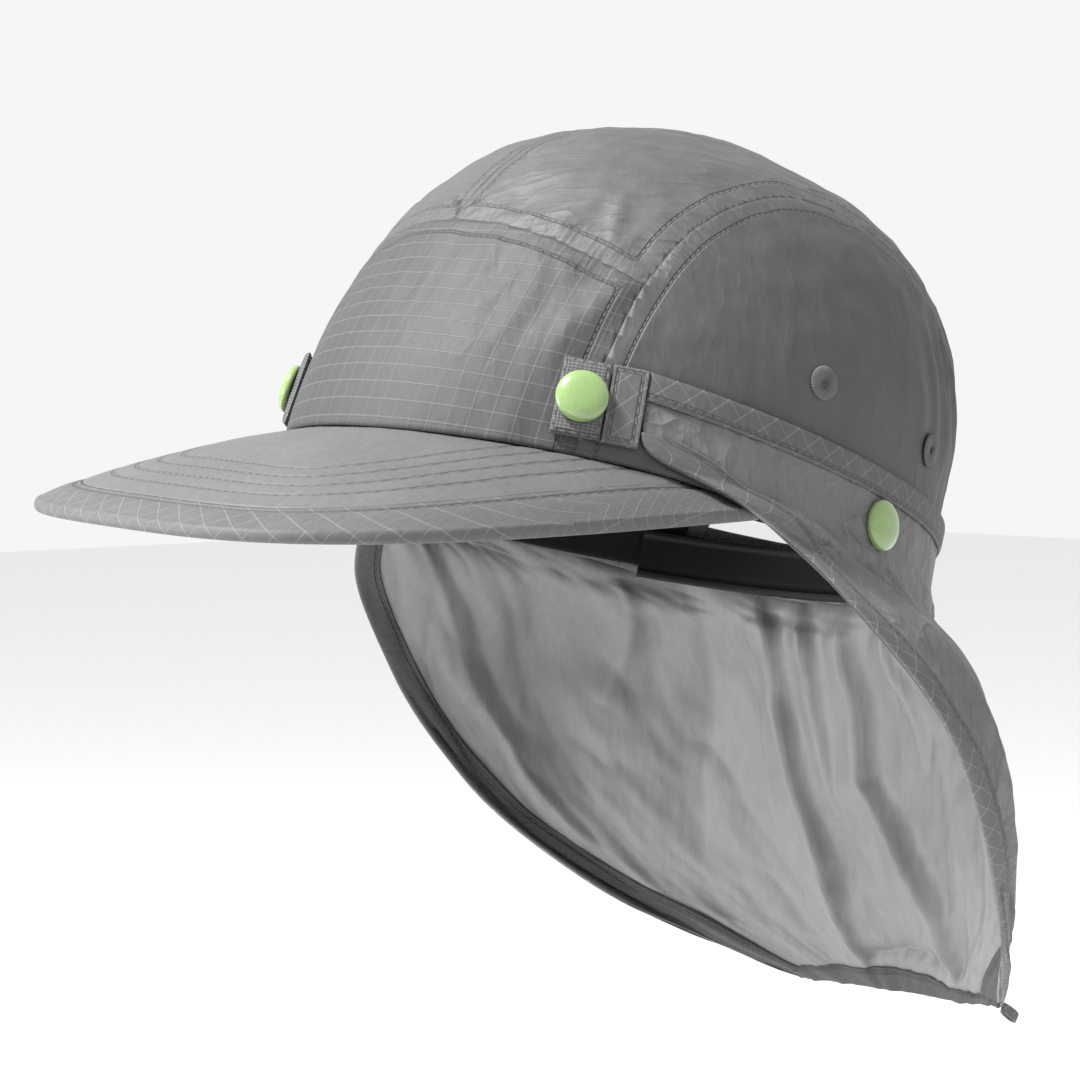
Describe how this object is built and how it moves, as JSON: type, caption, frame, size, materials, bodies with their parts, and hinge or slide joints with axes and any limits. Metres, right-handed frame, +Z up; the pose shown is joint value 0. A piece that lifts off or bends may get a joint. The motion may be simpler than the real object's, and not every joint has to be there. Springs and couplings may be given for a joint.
{
  "type": "sun hat with neck flap",
  "caption": "Soft camp cap with a curved visor, ripstop front panel and a neck flap on snaps that hangs round the back.",
  "frame": {"origin": "centre of the head opening, where the hat seats on a head", "axes": "+Z up, -Y the way the wearer faces, +X the wearer's left"},
  "size_m": [0.2216, 0.299, 0.2592],
  "materials": {
    "shell": "crinkled nylon, matte",
    "ripstop": "ripstop nylon, matte",
    "flap": "thin nylon, slightly shiny",
    "binding": "bias tape, matte",
    "webbing": "woven webbing, matte",
    "band": "black terry band, matte",
    "strap": "black moulded plastic",
    "cap": "pale green lacquer, glossy"
  },
  "bodies": {
    "root": {"front_panel": "ripstop", "top_panel_left": "shell", "top_panel_right": "shell", "side_panel_left": "shell", "side_panel_right": "shell", "visor": "shell", "visor_binding": "binding", "sweatband": "band", "adjuster_strap_left": "strap", "adjuster_strap_right": "strap", "flap_top_strip": "binding", "tab_left": "ripstop", "tab_right": "ripstop", "tab_webbing_left": "webbing", "tab_webbing_right": "webbing", "snap_front_left": "cap", "snap_front_right": "cap", "snap_side_left": "cap", "snap_side_right": "cap", "eyelet_side_left": "shell", "eyelet_side_right": "shell", "eyelet_rear_left": "shell", "eyelet_rear_right": "shell", "neck_flap": "flap", "flap_edge_binding": "binding", "flap_loop": "binding"}
  },
  "joints": []
}
